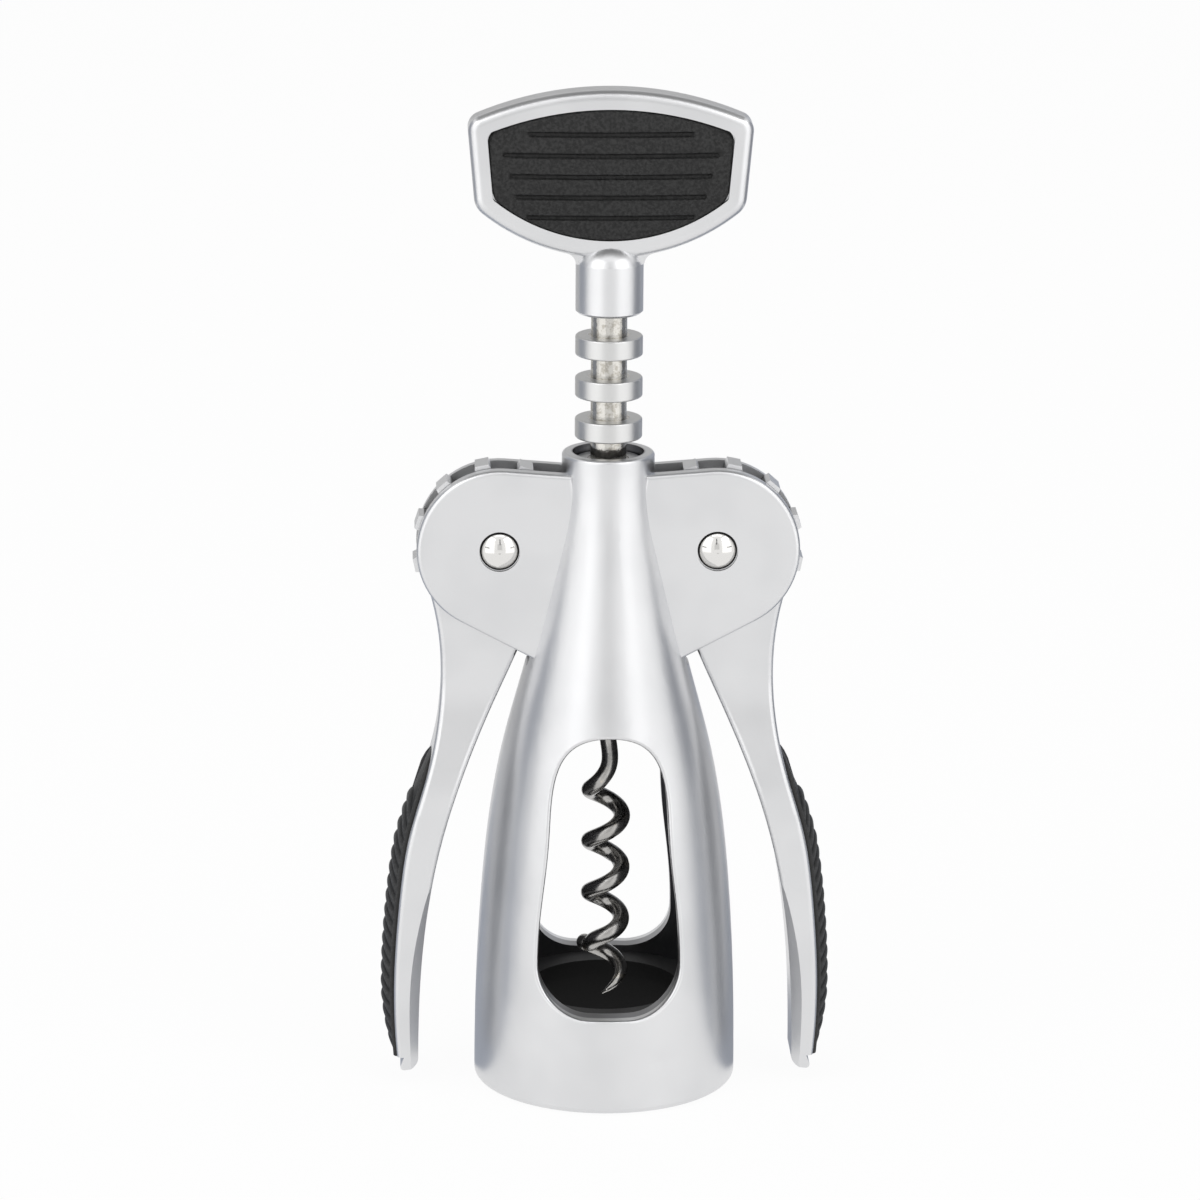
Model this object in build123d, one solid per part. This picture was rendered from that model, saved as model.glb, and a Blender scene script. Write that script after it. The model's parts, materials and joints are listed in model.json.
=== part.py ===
from build123d import *
import os
from math import atan2, cos, degrees, pi, radians, sin, sqrt

# Wing corkscrew. Millimetres, +Z up, origin at the centre of the foot on the floor,
# levers to -X and +X, windows to -Y and +Y. The model is at rest: levers down, screw raised.

# ---- running fits and seats, used by every piece that turns, slides or drops in ----
pivot_clearance = 0.05        # radial, lever on its axle
press_clearance = 0.02        # radial, pressed or pinned pieces of one body
spindle_clearance = 0.06      # radial, spindle in the rack and rack in the handle collar
guide_clearance = 0.35        # radial, rack rings in the neck
face_clearance = 0.05         # between washers and what turns on them
seat_clearance = 0.1          # round an insert or a pad in its pocket

# ---- bell frame: neck, ears and bell in one casting ----
pivot_height = 94.5
base_radius = 22.5
foot_edge_radius = 1.0
foot_wall = 3.0               # round the bottle guide
bell_wall = 3.4               # above the bottle guide
waist_radius = 21.4
waist_height = 32.9
shoulder_radius = 17.9
shoulder_height = 58.8
throat_radius = 13.2
throat_below_pivot = 17.8
neck_radius = 9.9
neck_below_pivot = 2.9
rim_radius = 7.85
rim_above_pivot = 16.3
rim_edge_radius = 0.6
collar_length = 2.8           # straight stretch under the rim
bore_taper_length = 7.0       # cone between the bell's cavity and the neck's bore

# ---- windows, front and back ----
window_bottom = 16.7
window_height = 48.0
window_half_width = 12.0
window_corner_radius = 8.5
window_shoulder_half_width = 10.1
window_shoulder_height = 31.0  # above the window's bottom
window_edge_radius = 0.5

# ---- ears and their slots ----
ear_radius = 14.0
ear_thickness = 2.2
ear_gap = 5.6
ear_top_drop = 0.9            # the top edge falls towards the neck
ear_corner_below_pivot = 18.45
ear_corner_radius_from_axis = 13.6
ear_edge_radius = 0.8
slot_above_pivot = 12.6
slot_below_pivot = 20.6
head_recess_radius = 3.45
head_recess_depth = 0.8

# ---- rack: ring grooves on a sleeve ----
ring_radius = 5.7
ring_height = 3.4
ring_pitch = 7.1
ring_count = 7
rings_above_pivot = 5
ring_offset = -0.8            # sixth ring's centre, measured from the pivots' height
ring_edge_radius = 0.35
sleeve_radius = 3.05
sleeve_into_collar = 4.3

# ---- gear heads and levers ----
gear_teeth = 12
pitch_line_radius = 4.84      # of the rack
tooth_width = 2.8
tooth_tip_width = 2.3
tooth_height = 2.35
tooth_shoulder = 1.45         # where the flanks start to close in
tooth_top_clearance = 0.65
first_tooth = -1
last_tooth = 6
lever_head_thickness = 5.2

# lever arm, as (outwards from the pivot, below the pivot)
arm_inner_edge = ((-6.1, 10.5), (-0.8, 23.5), (6.6, 40.6), (11.3, 57.9), (13.4, 75.2), (13.85, 93.2))
arm_outer_edge = ((11.9, 7.5), (10.0, 25.5), (11.6, 36.5), (15.2, 49.2), (17.1, 62.2), (18.0, 77.2), (17.1, 93.4))
arm_drop = 92.3
arm_tip_corners = ((13.85, 91.9), (17.25, 92.3))
arm_tip_radii = (1.6, 0.6)
arm_neck_thickness = 4.8      # between the ears, a little less than the gear head
arm_width_y = 15.0
arm_tip_width_y = 12.0
flare_below_pivot = 22.6      # where the arm starts to widen across
flare_length = 24.0
arm_edge_radius = 0.9
# bevel along the arm's inner edges, as (below the pivot, width)
arm_bevel = ((50.0, 0.02), (60.0, 0.6), (68.0, 1.35), (75.0, 1.7), (83.0, 1.6), (93.0, 1.3))
arm_bevel_slope = 1.3         # its depth to its width

# ---- lever grips ----
grip_start = 36.0             # below the pivot
grip_end = 90.0
grip_width_y = 12.6
grip_depth = 1.7              # rubber proud of the metal, without its ribs
grip_seat_depth = 1.2         # let into the metal at the grip's ends
grip_rib_radius = 1.15
grip_rib_rise = 0.65
grip_rib_count = 18
grip_rib_pitch = 2.55
grip_rib_start = 43.0         # below the pivot

# ---- pivot axles and their caps ----
axle_radius = 2.0
axle_cap_radius = 3.0
axle_cap_height = 1.75
axle_cap_skirt = 0.5

# ---- handle ----
handle_half_width = 23.9
handle_foot_half_width = 22.6
handle_thickness = 6.5
handle_edge_radius = 1.6
handle_bottom_above_pivot = 49.9
handle_lower_rise = 8.6       # from the bottom to the lower corners
handle_side_height = 14.6
handle_top_rise = 5.2         # of the top's arc over its corners
handle_top_corner_radius = 2.6
handle_foot_corner_radius = 4.0
handle_rim = 3.1              # metal round the pads
handle_seat_corner_radius = 1.5
handle_web = 4.1              # metal between the pads
handle_collar_radius = 5.7
collar_gap = 3.9              # neck seen between the collar and the top ring
handle_collar_length = 8.5
collar_dome_height = 3.95
collar_edge_radius = 0.4
collar_throat_radius = 2.0    # where the collar's sides run out into the plate
collar_throat_thickness = 3.8

# ---- handle pads ----
pad_crown = 1.6               # over the rim, at the middle
pad_crown_depth = 8.0         # half axes of the ellipsoid that crowns the pad
pad_crown_half_width = 34.2
pad_crown_half_height = 19.0
pad_groove_radius = 0.45
pad_groove_pitch = 3.5
pad_groove_half_lengths = (14.2, 16.1, 17.1, 18.2, 14.0)

# ---- spindle, its washers and its pin ----
spindle_radius = 2.0
spindle_flange_radius = 4.6
spindle_flange_thickness = 2.2
ferrule_radius = 3.0
ferrule_length = 5.0
tenon_radius = 1.3
tenon_length = 15.5
handle_pin_radius = 0.8
handle_pin_below_tenon_top = 3.6
washer_thickness = 0.6
lower_washer_radius = 5.2

# ---- worm ----
worm_wire_radius = 1.43
worm_radius = 2.78            # of the wire's centre line
worm_pitch = 9.25
worm_turns = 3.78
worm_below_pivot = 43.45      # where the wire first reaches its full radius, at -X
worm_lead_turns = 0.6         # winding out from the axis
worm_lead_length = 13.0
worm_socket_depth = 8.0
worm_taper_turns = 0.6
worm_tip_drop = 1.0
worm_tip_radius = 0.22
worm_tip_fullness = 0.75      # share of the wire's thickness left halfway along the taper

# ---- bottle guide ----
guide_height = 15.7
guide_foot_gap = 0.5
guide_ledge = 2.7             # over the bottle's lip
guide_ledge_width = 2.8
guide_wall = 3.88             # round the bottle's lip
guide_mouth_chamfer = 0.8

# ---- derived sizes ----
gear_pitch_radius = gear_teeth * ring_pitch / (2 * pi)
pivot_offset = gear_pitch_radius + pitch_line_radius
gear_tip_radius = pivot_offset - sleeve_radius - tooth_top_clearance
gear_root_radius = gear_tip_radius - tooth_height
gear_phase = degrees(ring_offset / gear_pitch_radius)
yoke_half_thickness = ear_gap / 2 + ear_thickness
recess_floor = yoke_half_thickness - head_recess_depth
neck_bore_radius = ring_radius + guide_clearance
rim_height = pivot_height + rim_above_pivot
throat_height = pivot_height - throat_below_pivot
neck_height = pivot_height - neck_below_pivot
guide_seat_radius = base_radius - foot_wall
guide_radius = guide_seat_radius - press_clearance
guide_mouth_radius = guide_radius - guide_wall      # a wine bottle's lip and its clearance
guide_hole_radius = guide_mouth_radius - guide_ledge_width
slot_top = pivot_height + slot_above_pivot
slot_bottom = pivot_height - slot_below_pivot
sleeve_bore_radius = spindle_radius + spindle_clearance
top_ring_height = pivot_height + ring_offset + rings_above_pivot * ring_pitch
rack_bottom = top_ring_height - (ring_count - 1) * ring_pitch - ring_height / 2
collar_bottom = top_ring_height + ring_height / 2 + collar_gap
rack_top = collar_bottom + sleeve_into_collar
collar_floor = rack_top + washer_thickness + 2 * face_clearance
tenon_top = collar_floor + tenon_length
handle_pin_height = tenon_top - handle_pin_below_tenon_top
handle_bottom = pivot_height + handle_bottom_above_pivot
handle_foot_corner = handle_bottom + handle_lower_rise
handle_top_corner = handle_foot_corner + handle_side_height
handle_top = handle_top_corner + handle_top_rise
pad_middle = (handle_top + handle_bottom) / 2
flange_top = rack_bottom - washer_thickness - 2 * face_clearance
flange_bottom = flange_top - spindle_flange_thickness
ferrule_bottom = flange_bottom - ferrule_length
worm_start = pivot_height - worm_below_pivot
far = 200.0                   # longer than the whole corkscrew, for cutting tools
standing = (Align.CENTER, Align.CENTER, Align.MIN)


def revolved(points_face):
    return revolve(Plane.XZ * points_face, Axis.Z, 360)


def slab(face, low_y, high_y):
    """An outline drawn in X and Z, made solid between two depths."""
    return extrude(Plane.XZ.offset(-high_y) * face, high_y - low_y)


def post(radius, bottom, height):
    return Pos(0, 0, bottom) * Cylinder(radius, height, align=standing)


def ring(outer, inner, bottom, height):
    return post(outer, bottom, height) - post(inner, bottom, height)


def rod_y(radius, low_y, high_y, x, z):
    rod = Cylinder(radius, high_y - low_y, align=standing)
    return Pos(x, low_y, z) * Rot(-90, 0, 0) * rod


def dome_arc(radius, low, high):
    """Arc of a sphere's section, from its edge at one height up to the axis at another."""
    rise = high - low
    sphere = (radius ** 2 + rise ** 2) / (2 * rise)
    half_turn = atan2(radius, sphere - rise) / 2
    middle = (sphere * sin(half_turn), high - sphere + sphere * cos(half_turn))
    return ThreePointArc((radius, low), middle, (0, high))


def bell_outside():
    """The casting's outside without ears: a spline from foot to rim, turned about Z."""
    side = Spline(
        (base_radius, 0),
        (waist_radius, waist_height),
        (shoulder_radius, shoulder_height),
        (throat_radius, throat_height),
        (neck_radius, neck_height),
        (rim_radius, rim_height - collar_length),
        tangents=((0, 1), (0, 1)),
    )
    edges = [
        side,
        Line((rim_radius, rim_height - collar_length), (rim_radius, rim_height)),
        Line((rim_radius, rim_height), (0, rim_height)),
        Line((0, rim_height), (0, 0)),
        Line((0, 0), (base_radius, 0)),
    ]
    solid = revolved(make_face(edges))
    foot = solid.edges().filter_by(GeomType.CIRCLE).group_by(Axis.Z)[0]
    solid = fillet(foot, foot_edge_radius)
    rim = solid.edges().filter_by(GeomType.CIRCLE).group_by(Axis.Z)[-1]
    return fillet(rim, rim_edge_radius)


def bell_inside():
    """Everything hollow about the axis: guide seat, cavity, taper and neck bore."""
    lip = guide_height
    side = Spline(
        (waist_radius - bell_wall, waist_height),
        (shoulder_radius - bell_wall, shoulder_height),
        (throat_radius - bell_wall, throat_height),
    )
    edges = [
        Line((0, -1), (guide_seat_radius, -1)),
        Line((guide_seat_radius, -1), (guide_seat_radius, lip)),
        Line((guide_seat_radius, lip), (waist_radius - bell_wall, lip)),
        Line((waist_radius - bell_wall, lip), (waist_radius - bell_wall, waist_height)),
        side,
        Line((throat_radius - bell_wall, throat_height), (neck_bore_radius, throat_height + bore_taper_length)),
        Line((neck_bore_radius, throat_height + bore_taper_length), (neck_bore_radius, rim_height + 1)),
        Line((neck_bore_radius, rim_height + 1), (0, rim_height + 1)),
        Line((0, rim_height + 1), (0, -1)),
    ]
    return revolved(make_face(edges))


def window_outline():
    """Half outline from the middle of the sill to the crown of the arch, mirrored."""
    sill = window_bottom
    corner = window_half_width - window_corner_radius
    crown = window_bottom + window_height
    half = [
        Line((0, sill), (corner, sill)),
        RadiusArc((corner, sill), (window_half_width, sill + window_corner_radius), -window_corner_radius),
        Spline(
            (window_half_width, sill + window_corner_radius),
            (window_shoulder_half_width, sill + window_shoulder_height),
            (0, crown),
            tangents=((0, 1), (-1, 0)),
        ),
    ]
    mirrored = [mirror(edge, Plane.YZ) for edge in half]
    return make_face(half + mirrored)


def ear_outline():
    """Disc round the pivot, drawn out to the neck by its two tangents."""
    disc = Pos(-pivot_offset, pivot_height) * Circle(ear_radius)
    top = pivot_height + ear_radius - ear_top_drop
    corner = (-ear_corner_radius_from_axis, pivot_height - ear_corner_below_pivot)
    inner_x = -neck_bore_radius
    inner = (inner_x, corner[1] - (corner[0] - inner_x) * -0.52)
    ends = [Line((inner_x, top), inner)]
    return make_hull(disc.edges() + ends)


def ears():
    """One side's two plates, softened round their outer faces."""
    plate = slab(ear_outline(), ear_gap / 2, yoke_half_thickness)
    outer_face = plate.faces().sort_by(Axis.Y)[-1]
    plate = fillet(outer_face.edges(), ear_edge_radius)
    return plate + mirror(plate, Plane.XZ)


def slot_cut():
    slot = Box(2 * (neck_radius + ear_radius), ear_gap, slot_top - slot_bottom)
    return Pos(0, 0, (slot_top + slot_bottom) / 2) * slot


def windowed_bell():
    """The bell with both windows cut and their outer edges rounded."""
    body = bell_outside() - bell_inside() - slab(window_outline(), -far, far)
    skin = body.faces().sort_by(SortBy.AREA)[-1]
    rims = [edge for edge in skin.edges() if abs(edge.center().Y) > window_half_width]
    return fillet(rims, window_edge_radius)


def bell_frame():
    left = ears()
    body = windowed_bell() + left + mirror(left, Plane.YZ)
    body -= bell_inside()
    body -= slot_cut()
    for side in (-1, 1):
        x = side * pivot_offset
        body -= rod_y(axle_radius + press_clearance, -far, far, x, pivot_height)
        body -= rod_y(head_recess_radius, recess_floor, far, x, pivot_height)
        body -= rod_y(head_recess_radius, -far, -recess_floor, x, pivot_height)
    return body


def bottle_guide():
    """Insert that the bottle's lip seats in; the cork passes its hole."""
    body = post(guide_radius, guide_foot_gap, guide_height - guide_foot_gap)
    mouth_height = guide_height - guide_ledge - guide_foot_gap
    body -= post(guide_mouth_radius, guide_foot_gap, mouth_height)
    mouth = body.edges().filter_by(GeomType.CIRCLE).group_by(Axis.Z)[0].sort_by(SortBy.RADIUS)[0]
    body = chamfer(mouth, guide_mouth_chamfer)
    return body - post(guide_hole_radius, 0, far)


# ---- pivot axles and caps ----

def pivot_axle(side):
    reach = recess_floor + axle_cap_skirt
    return rod_y(axle_radius, -reach, reach, side * pivot_offset, pivot_height)


def axle_cap(side, face):
    """Domed cap pressed on the axle's end; face is -1 in front and 1 behind."""
    half = [
        Line((0, 0), (axle_cap_radius, 0)),
        Line((axle_cap_radius, 0), (axle_cap_radius, axle_cap_skirt)),
        dome_arc(axle_cap_radius, axle_cap_skirt, axle_cap_height),
        Line((0, axle_cap_height), (0, 0)),
    ]
    cap = revolved(make_face(half))
    cap -= post(axle_radius + press_clearance, 0, axle_cap_skirt + press_clearance)
    return Pos(side * pivot_offset, face * recess_floor, pivot_height) * Rot(-90 * face, 0, 0) * cap


# ---- levers ----

def arm_points(edge):
    return [(-out, -drop) for out, drop in edge]


def gear_outline():
    """Root disc with parallel-sided teeth, set so that they mesh with the rings."""
    half = tooth_width / 2
    shoulder = gear_root_radius + tooth_shoulder
    tooth = make_face(
        Polyline(
            (gear_root_radius - 1, -half),
            (shoulder, -half),
            (gear_tip_radius, -tooth_tip_width / 2),
            (gear_tip_radius, tooth_tip_width / 2),
            (shoulder, half),
            (gear_root_radius - 1, half),
            close=True,
        )
    )
    outline = Circle(gear_root_radius)
    for index in range(first_tooth, last_tooth + 1):
        outline += Rot(0, 0, gear_phase + (index + 0.5) * 360 / gear_teeth) * tooth
    return outline


def arm_outline():
    inner = Spline(*arm_points(arm_inner_edge))
    outer = Spline(*arm_points(arm_outer_edge))
    return make_face([inner, Line(inner @ 1, outer @ 1), outer, Line(outer @ 0, inner @ 0)])


def arm_tip_cut():
    """What the squared tip, with its two rounded corners, leaves of the arm's end."""
    corners = arm_points(arm_tip_corners)
    top = -arm_drop + max(arm_tip_radii) + arm_edge_radius
    sides = ((corners[0][0], top), (corners[1][0] + arm_edge_radius, top))
    tip = make_face(Polyline(sides[0], *corners, sides[1], close=True))
    for corner, radius in zip(corners, arm_tip_radii):
        tip = fillet(tip.vertices().sort_by_distance(corner)[0], radius)
    end = Pos(corners[0][0], top - far / 2) * Rectangle(far, far)
    return slab(end - tip, -far, far)


def arm_flank(width, tip_width):
    """Half width across the arm against height, from the end of its flare to its tip."""
    start = (width / 2, -(flare_below_pivot + flare_length))
    return Spline(start, (tip_width / 2, -arm_drop - 1), tangents=((0, -1), (-0.15, -1)))


def arm_side_outline(width, tip_width):
    """Outline across the arm against height: thin between the ears, flared to the grip."""
    neck = arm_neck_thickness / 2
    flank = arm_flank(width, tip_width)
    half = [
        Line((0, 0), (neck, 0)),
        Line((neck, 0), (neck, -flare_below_pivot)),
        Spline((neck, -flare_below_pivot), flank @ 0, tangents=((0, -1), (0, -1))),
        flank,
        Line(flank @ 1, (0, (flank @ 1).Y)),
    ]
    return make_face(half + [mirror(edge, Plane.YZ) for edge in half])


def at_drop(edge, drop):
    """Share of a falling edge's length at a drop below the pivot, found by halving."""
    low, high = 0.0, 1.0
    while high - low > 1e-6:
        middle = (low + high) / 2
        if (edge @ middle).Y > -drop:
            low = middle
        else:
            high = middle
    return low


def bevel_cut():
    """Wedge that takes off the arm's inner front edge, lofted through its section at each height."""
    inner = Spline(*arm_points(arm_inner_edge))
    flank = arm_flank(arm_width_y, arm_tip_width_y)
    slant = Vector(1, arm_bevel_slope, 0)
    beyond = slant.normalized() * 2 * arm_edge_radius
    outwards = Vector(slant.Y, -slant.X, 0).normalized() * 2 * arm_edge_radius
    sections = []
    for drop, width in arm_bevel:
        edge_x = (inner @ at_drop(inner, drop)).X
        edge_y = -(flank @ at_drop(flank, drop)).X
        start = Vector(edge_x - width, edge_y, 0)
        end = start + slant * width
        corners = (start - beyond, end + beyond, end + beyond + outwards, start - beyond + outwards)
        sections.append(Plane.XY.offset(-drop) * make_face(Polyline(*corners, close=True)))
    return loft(sections)


def arm_solid():
    """The arm with its long edges rounded and its inner ones bevelled towards the tip."""
    side = extrude(Plane.YZ.offset(-far / 2) * arm_side_outline(arm_width_y, arm_tip_width_y), far)
    blank = slab(arm_outline(), -arm_width_y, arm_width_y) & side
    long_edges = [edge for edge in blank.edges() if edge.length > arm_width_y and abs(edge.center().Y) > 1]
    cut = bevel_cut()
    return fillet(long_edges, arm_edge_radius) - cut - mirror(cut, Plane.XZ) - arm_tip_cut()


def lever(side):
    arm = arm_solid()
    head = slab(gear_outline(), -lever_head_thickness / 2, lever_head_thickness / 2)
    body = arm + head
    body -= rod_y(axle_radius + pivot_clearance, -far, far, 0, 0)
    return placed_lever(body, side)


def placed_lever(body, side):
    """Sets a piece modelled about the left pivot in its place, mirrored for the right."""
    body = Pos(-pivot_offset, 0, pivot_height) * body
    if side > 0:
        body = mirror(body, Plane.YZ)
    return body


def point_off_arm(edge, drop, rise):
    """Point at a drop below the pivot, raised off the arm's outer edge along its normal."""
    share = at_drop(edge, drop)
    point = edge @ share
    tangent = edge % share
    return (point.X + tangent.Y * rise, point.Y - tangent.X * rise)


def grip(side):
    """Rubber along the arm's outer edge, with a row of ribs across it."""
    edge = Spline(*arm_points(arm_outer_edge))
    ramp = grip_rib_start - grip_start
    full_end = grip_end - ramp / 2
    stations = 7
    back = []
    for index in range(stations):
        drop = grip_end + (grip_start - grip_end) * index / (stations - 1)
        back.append(point_off_arm(edge, drop, -grip_seat_depth))
    front = [point_off_arm(edge, grip_start, 0), point_off_arm(edge, grip_start + ramp / 2, 0.65 * grip_depth)]
    for index in range(stations):
        drop = grip_rib_start + (full_end - grip_rib_start) * index / (stations - 1)
        front.append(point_off_arm(edge, drop, grip_depth))
    front.append(point_off_arm(edge, grip_end, 0))
    outer = Spline(*front)
    blank = slab(make_face([outer, Spline(outer @ 1, *back, outer @ 0)]), -grip_width_y / 2, grip_width_y / 2)
    for index in range(grip_rib_count):
        drop = grip_rib_start + index * grip_rib_pitch
        x, z = point_off_arm(edge, drop, grip_depth + grip_rib_rise - grip_rib_radius)
        blank += rod_y(grip_rib_radius, -grip_width_y / 2, grip_width_y / 2, x, z)
    margin = arm_width_y - grip_width_y
    side_outline = arm_side_outline(grip_width_y, arm_tip_width_y - margin)
    blank = blank & extrude(Plane.YZ.offset(-far / 2) * side_outline, far)
    return placed_lever(blank - arm_solid(), side)


# ---- rack ----

def rack_sleeve():
    body = post(sleeve_radius, rack_bottom, rack_top - rack_bottom)
    collar = post(ring_radius, 0, ring_height)
    collar = fillet(collar.edges().filter_by(GeomType.CIRCLE), ring_edge_radius)
    for index in range(ring_count):
        body += Pos(0, 0, rack_bottom + index * ring_pitch) * collar
    return body - post(sleeve_bore_radius, 0, far)


def upper_thrust_washer():
    return ring(sleeve_radius, sleeve_bore_radius, rack_top + face_clearance, washer_thickness)


def lower_thrust_washer():
    return ring(lower_washer_radius, sleeve_bore_radius, flange_top + face_clearance, washer_thickness)


# ---- handle ----

def handle_outline():
    top = ThreePointArc(
        (-handle_half_width, handle_top_corner), (0, handle_top), (handle_half_width, handle_top_corner)
    )
    bottom = ThreePointArc(
        (-handle_foot_half_width, handle_foot_corner),
        (0, handle_bottom),
        (handle_foot_half_width, handle_foot_corner),
    )
    face = make_face([top, Line(top @ 1, bottom @ 1), bottom, Line(bottom @ 0, top @ 0)])
    corners = face.vertices().sort_by(Axis.Y)
    face = fillet(corners[-2:], handle_top_corner_radius)
    return fillet(face.vertices().sort_by(Axis.Y)[:2], handle_foot_corner_radius)


def pad_seat():
    """Outline of the pockets that hold the pads."""
    seat = offset(handle_outline(), amount=-handle_rim)
    return fillet(seat.vertices().sort_by(Axis.Y)[-2:], handle_seat_corner_radius)


def collar_throat():
    """The handle's outline and its collar's, their two inner corners rounded."""
    rise = pad_middle - collar_bottom
    sides = Pos(0, collar_bottom + rise / 2) * Rectangle(2 * handle_collar_radius, rise)
    whole = handle_outline() + sides
    on_sides = [corner for corner in whole.vertices() if abs(abs(corner.X) - handle_collar_radius) < 0.01]
    whole = fillet([corner for corner in on_sides if corner.Y > collar_bottom + 1], collar_throat_radius)
    return whole - Pos(0, collar_bottom) * Rectangle(far, 2 * handle_collar_length)


def handle_frame():
    """Plate with a pocket in each face, on a domed collar that takes the rack's top end."""
    half = handle_thickness / 2
    throat = collar_throat_thickness / 2
    plate = slab(handle_outline(), -half, half)
    plate = fillet(plate.faces().sort_by(Axis.Y)[0].edges(), handle_edge_radius)
    plate = fillet(plate.faces().sort_by(Axis.Y)[-1].edges(), handle_edge_radius)
    dome_bottom = collar_bottom + handle_collar_length
    profile = [
        Line((0, collar_bottom), (handle_collar_radius - collar_edge_radius, collar_bottom)),
        Line(
            (handle_collar_radius - collar_edge_radius, collar_bottom),
            (handle_collar_radius, collar_bottom + collar_edge_radius),
        ),
        Line((handle_collar_radius, collar_bottom + collar_edge_radius), (handle_collar_radius, dome_bottom)),
        dome_arc(handle_collar_radius, dome_bottom, dome_bottom + collar_dome_height),
        Line((0, dome_bottom + collar_dome_height), (0, collar_bottom)),
    ]
    body = plate + revolved(make_face(profile)) + slab(collar_throat(), -throat, throat)
    body -= slab(pad_seat(), handle_web / 2, far)
    body -= slab(pad_seat(), -far, -handle_web / 2)
    body -= post(sleeve_radius + spindle_clearance, collar_bottom, collar_floor - collar_bottom)
    body -= post(tenon_radius + press_clearance, collar_floor, tenon_length)
    return body - rod_y(handle_pin_radius + press_clearance, -far, far, 0, handle_pin_height)


def crown_height(x, z):
    """Depth of the pads' crowned surface from the handle's middle plane."""
    share = 1 - (x / pad_crown_half_width) ** 2 - ((z - pad_middle) / pad_crown_half_height) ** 2
    return handle_thickness / 2 + pad_crown - pad_crown_depth * (1 - sqrt(share))


def handle_pad(face):
    """Rubber pad crowned as an ellipsoid, with grooves across it; face is -1 in front."""
    outline = offset(pad_seat(), amount=-seat_clearance)
    top = handle_thickness / 2 + pad_crown
    pad = slab(outline, handle_web / 2, top + 1)
    crown = scale(Sphere(1), by=(pad_crown_half_width, pad_crown_depth, pad_crown_half_height))
    pad = pad & Pos(0, top - pad_crown_depth, pad_middle) * crown
    for index, half_length in enumerate(pad_groove_half_lengths):
        z = pad_middle + (index - 2) * pad_groove_pitch
        stations = [half_length * share for share in (-1, -0.5, 0, 0.5, 1)]
        path = Spline(*[(x, crown_height(x, z), z) for x in stations])
        pad -= sweep(Plane(origin=path @ 0, z_dir=path % 0) * Circle(pad_groove_radius), path=path)
    return pad if face > 0 else mirror(pad, Plane.XZ)


def handle_pin():
    return rod_y(handle_pin_radius, -handle_web / 2, handle_web / 2, 0, handle_pin_height)


# ---- spindle and worm ----

def spindle():
    """Rod through the rack: flange and wire socket below, tenon for the handle above."""
    body = post(spindle_radius, flange_top, collar_floor - flange_top)
    body += post(spindle_flange_radius, flange_bottom, spindle_flange_thickness)
    body += post(ferrule_radius, ferrule_bottom, ferrule_length)
    body += post(tenon_radius, collar_floor, tenon_length)
    body -= post(worm_wire_radius + press_clearance, ferrule_bottom, worm_socket_depth)
    return body - rod_y(handle_pin_radius + press_clearance, -far, far, 0, handle_pin_height)


def worm_point(turn):
    """Wire's centre line: a right-handed helix, wound out from the axis over its lead."""
    angle = radians(180 - 360 * turn)
    radius = worm_radius
    z = worm_start - worm_pitch * turn
    if turn < 0:
        share = -turn / worm_lead_turns
        radius *= (1 - share) ** 2 * (1 + 2 * share)
        z += (worm_lead_length - worm_pitch * worm_lead_turns) * share ** 2
    beyond = (turn - worm_turns + worm_taper_turns) / worm_taper_turns
    if beyond > 0:
        z -= worm_tip_drop * beyond ** 2
    return Vector(radius * cos(angle), radius * sin(angle), z)


def worm_path(first, last, points):
    """Spline through the centre line between two turns."""
    step = 0.0001
    samples = [worm_point(first + (last - first) * index / points) for index in range(points + 1)]
    tangents = [worm_point(turn + step) - worm_point(turn - step) for turn in (first, last)]
    return Spline(*samples, tangents=tangents)


def wire(path, radii):
    """Round wire along a path, its radius changing evenly through the given ones."""
    sections = []
    for index, radius in enumerate(radii):
        share = index / (len(radii) - 1)
        sections.append(Plane(origin=path @ share, z_dir=path % share) * Circle(radius))
    return sweep(sections, path=path, multisection=True)


def worm():
    """One wire: straight in its socket, wound below it, drawn out to a point."""
    taper_start = worm_turns - worm_taper_turns
    coil = worm_path(-worm_lead_turns, taper_start, 24)
    shank_top = Vector(0, 0, ferrule_bottom + worm_socket_depth)
    path = Wire([Line(shank_top, coil @ 0), coil])
    section = Plane(origin=shank_top, z_dir=(0, 0, -1)) * Circle(worm_wire_radius)
    body = sweep(section, path=path, is_frenet=True)
    middle_radius = worm_tip_radius + worm_tip_fullness * (worm_wire_radius - worm_tip_radius)
    tip = wire(worm_path(taper_start, worm_turns, 12), (worm_wire_radius, middle_radius, worm_tip_radius))
    skin = body.faces().sort_by_distance(coil @ 1)[1:] + tip.faces().sort_by_distance(coil @ 1)[1:]
    return Solid(Shell(skin))


pieces = {
    "bell_frame": bell_frame(),
    "bottle_guide": bottle_guide(),
    "rack_sleeve": rack_sleeve(),
    "upper_thrust_washer": upper_thrust_washer(),
    "lower_thrust_washer": lower_thrust_washer(),
    "spindle": spindle(),
    "worm": worm(),
    "handle_frame": handle_frame(),
    "handle_pin": handle_pin(),
    "front_handle_pad": handle_pad(-1),
    "rear_handle_pad": handle_pad(1),
}
for side_name, side in (("left", -1), ("right", 1)):
    pieces[f"{side_name}_lever"] = lever(side)
    pieces[f"{side_name}_grip"] = grip(side)
    pieces[f"{side_name}_pivot_axle"] = pivot_axle(side)
    pieces[f"{side_name}_front_cap"] = axle_cap(side, -1)
    pieces[f"{side_name}_rear_cap"] = axle_cap(side, 1)

os.makedirs("parts", exist_ok=True)
for name, piece in pieces.items():
    export_step(piece, f"parts/{name}.step")
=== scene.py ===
import json

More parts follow.
